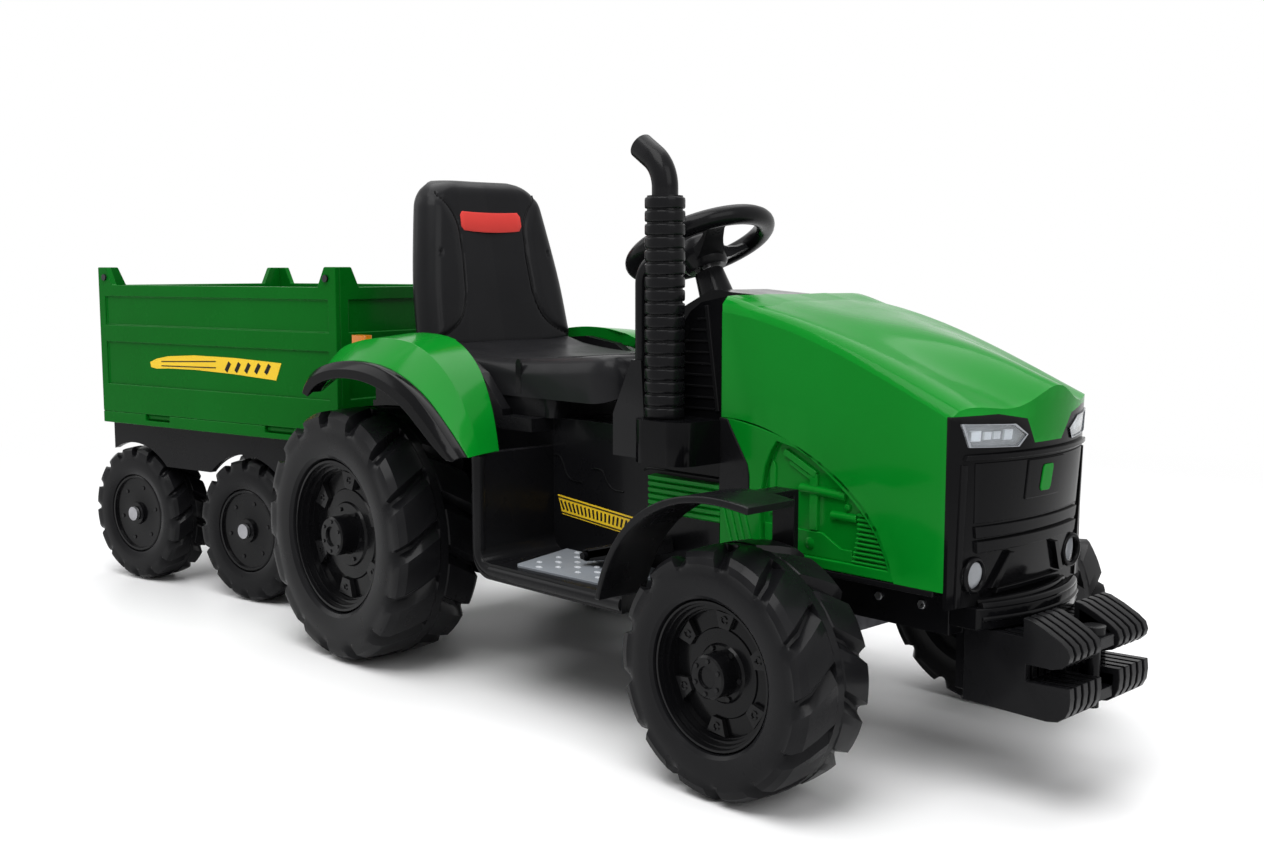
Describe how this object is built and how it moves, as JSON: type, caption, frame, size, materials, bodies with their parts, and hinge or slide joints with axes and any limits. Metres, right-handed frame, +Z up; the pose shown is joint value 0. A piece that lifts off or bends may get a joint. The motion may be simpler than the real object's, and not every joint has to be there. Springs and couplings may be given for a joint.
{
  "type": "ride-on tractor toy with trailer",
  "caption": "Electric ride-on toy tractor with steered front wheels, driven rear wheels, pedal, high-backed seat, exhaust stack, front weights and a towed box trailer.",
  "frame": {"origin": "on the ground at the middle of the bounding box", "axes": "+X forward, +Y to the driver's left, +Z up"},
  "size_m": [1.7218, 0.549, 0.6417],
  "materials": {
    "body_green": "gloss moulded",
    "trailer_green": "gloss moulded",
    "body_black": "satin moulded",
    "seat_black": "soft satin",
    "tyre_black": "satin blow-moulded",
    "rim_black": "satin moulded",
    "plate_grey": "satin",
    "lamp_clear": "clear",
    "lamp_orange": "gloss",
    "steel": "zinc plated"
  },
  "bodies": {
    "chassis": {"battery": "body_black", "bonnet": "body_green", "control_box": "body_black", "cowl": "body_black", "drive_motors": "steel", "engine_panels": "body_green", "exhaust_box": "body_black", "exhaust_stack": "body_black", "exhaust_tip": "body_black", "fog_lamps": "lamp_clear", "foot_plates": "plate_grey", "front_axle": "steel", "front_frame": "body_black", "front_hook": "body_black", "front_mudguards": "body_black", "front_weights": "body_black", "gearboxes": "body_black", "grille": "body_black", "hand_rail": "body_black", "headlights": "lamp_clear", "main_body": "body_black", "mudguard_lips": "body_black", "nose_bumper": "body_black", "rear_axle": "steel", "rear_mudguard_left": "body_green", "rear_mudguard_right": "body_green", "seat": "seat_black", "seat_base": "body_black", "steering_column": "body_black", "tail_lamps": "lamp_orange", "tow_bar": "steel", "tow_pin": "steel"},
    "steering": {"steering_wheel": "body_black", "steering_shaft": "steel"},
    "horn": {"horn_button": "body_black"},
    "power_switch": {"power_button": "body_black"},
    "gear_rocker": {"direction_switch": "body_black"},
    "pedal": {"accelerator_pedal": "body_black"},
    "steer_right": {"knuckle_right": "steel"},
    "steer_left": {"knuckle_left": "steel"},
    "track_rod": {"tie_rod": "steel"},
    "wheel_front_right": {"front_tyre_right": "tyre_black", "front_rim_right": "rim_black"},
    "wheel_front_left": {"front_tyre_left": "tyre_black", "front_rim_left": "rim_black"},
    "wheel_rear_right": {"rear_tyre_right": "tyre_black", "rear_rim_right": "rim_black"},
    "wheel_rear_left": {"rear_tyre_left": "tyre_black", "rear_rim_left": "rim_black"},
    "hook_pin": {"front_hook_pin": "body_black"},
    "trailer": {"trailer_frame": "body_black", "trailer_floor": "trailer_green", "trailer_side_panels": "trailer_green", "trailer_end_panels": "trailer_green", "trailer_bolts": "steel", "trailer_axles": "steel"},
    "trailer_front_right": {"trailer_wheel_front_right": "tyre_black"},
    "trailer_front_left": {"trailer_wheel_front_left": "tyre_black"},
    "trailer_rear_right": {"trailer_wheel_rear_right": "tyre_black"},
    "trailer_rear_left": {"trailer_wheel_rear_left": "tyre_black"}
  },
  "joints": [
    {"name": "steering_turn", "type": "hinge", "parent": "chassis", "child": "steering", "pos_m": [0.3299, 0, 0.528], "axis": [-0.4226, 0, 0.9063], "range_deg": [-45, 45]},
    {"name": "horn_press", "type": "slide", "parent": "steering", "child": "horn", "axis": [0.4226, 0, -0.9063], "range_m": [0, 0.002], "stiffness_N_per_m": 300, "springref_m": -0.002},
    {"name": "power_press", "type": "slide", "parent": "chassis", "child": "power_switch", "axis": [1, 0, 0], "range_m": [0, 0.0025], "stiffness_N_per_m": 300, "springref_m": -0.002},
    {"name": "gear_rock", "type": "hinge", "parent": "chassis", "child": "gear_rocker", "pos_m": [0.33245, 0.024, 0.4], "axis": [0, 1, 0], "range_deg": [-10, 10]},
    {"name": "pedal_press", "type": "hinge", "parent": "chassis", "child": "pedal", "pos_m": [0.3039, -0.137, 0.176], "axis": [0, 1, 0], "range_deg": [0, 10], "stiffness_Nm_per_rad": 0.6, "springref_deg": -8.59},
    {"name": "knuckle_turn_right", "type": "hinge", "parent": "chassis", "child": "steer_right", "pos_m": [0.5989, -0.16, 0.1206], "axis": [0, 0, 1], "range_deg": [-16.5, 16.5]},
    {"name": "knuckle_turn_left", "type": "hinge", "parent": "chassis", "child": "steer_left", "pos_m": [0.5989, 0.16, 0.1206], "axis": [0, 0, 1], "range_deg": [-16.5, 16.5]},
    {"name": "track_slide", "type": "slide", "parent": "chassis", "child": "track_rod", "axis": [0, 1, 0], "range_m": [-0.017, 0.017]},
    {"name": "front_roll_right", "type": "hinge", "parent": "steer_right", "child": "wheel_front_right", "pos_m": [0.5989, -0.2215, 0.1206], "axis": [0, 1, 0], "continuous": true},
    {"name": "front_roll_left", "type": "hinge", "parent": "steer_left", "child": "wheel_front_left", "pos_m": [0.5989, 0.2215, 0.1206], "axis": [0, 1, 0], "continuous": true},
    {"name": "rear_roll_right", "type": "hinge", "parent": "chassis", "child": "wheel_rear_right", "pos_m": [-0.0561, -0.2105, 0.162], "axis": [0, 1, 0], "continuous": true},
    {"name": "rear_roll_left", "type": "hinge", "parent": "chassis", "child": "wheel_rear_left", "pos_m": [-0.0561, 0.2105, 0.162], "axis": [0, 1, 0], "continuous": true},
    {"name": "hook_pin_lift", "type": "slide", "parent": "chassis", "child": "hook_pin", "axis": [0, 0, 1], "range_m": [0, 0.068]},
    {"name": "trailer_swing", "type": "hinge", "parent": "chassis", "child": "trailer", "pos_m": [-0.3461, 0, 0.235], "axis": [0, 0, 1], "range_deg": [-36.6, 13.4]},
    {"name": "trailer_roll_front_right", "type": "hinge", "parent": "trailer", "child": "trailer_front_right", "pos_m": [-0.43216, -0.16263, 0.108], "axis": [-0.2011, 0.9796, 0], "continuous": true},
    {"name": "trailer_roll_front_left", "type": "hinge", "parent": "trailer", "child": "trailer_front_left", "pos_m": [-0.48926, 0.11557, 0.108], "axis": [-0.2011, 0.9796, 0], "continuous": true},
    {"name": "trailer_roll_rear_right", "type": "hinge", "parent": "trailer", "child": "trailer_rear_right", "pos_m": [-0.69468, -0.21652, 0.108], "axis": [-0.2011, 0.9796, 0], "continuous": true},
    {"name": "trailer_roll_rear_left", "type": "hinge", "parent": "trailer", "child": "trailer_rear_left", "pos_m": [-0.75179, 0.06168, 0.108], "axis": [-0.2011, 0.9796, 0], "continuous": true}
  ],
  "couplings": [
    {"joint": "knuckle_turn_right", "follows": "steering_turn", "ratio": 0.35556},
    {"joint": "knuckle_turn_left", "follows": "steering_turn", "ratio": 0.35556},
    {"joint": "track_slide", "follows": "steering_turn", "m_per_rad": -0.02106}
  ]
}
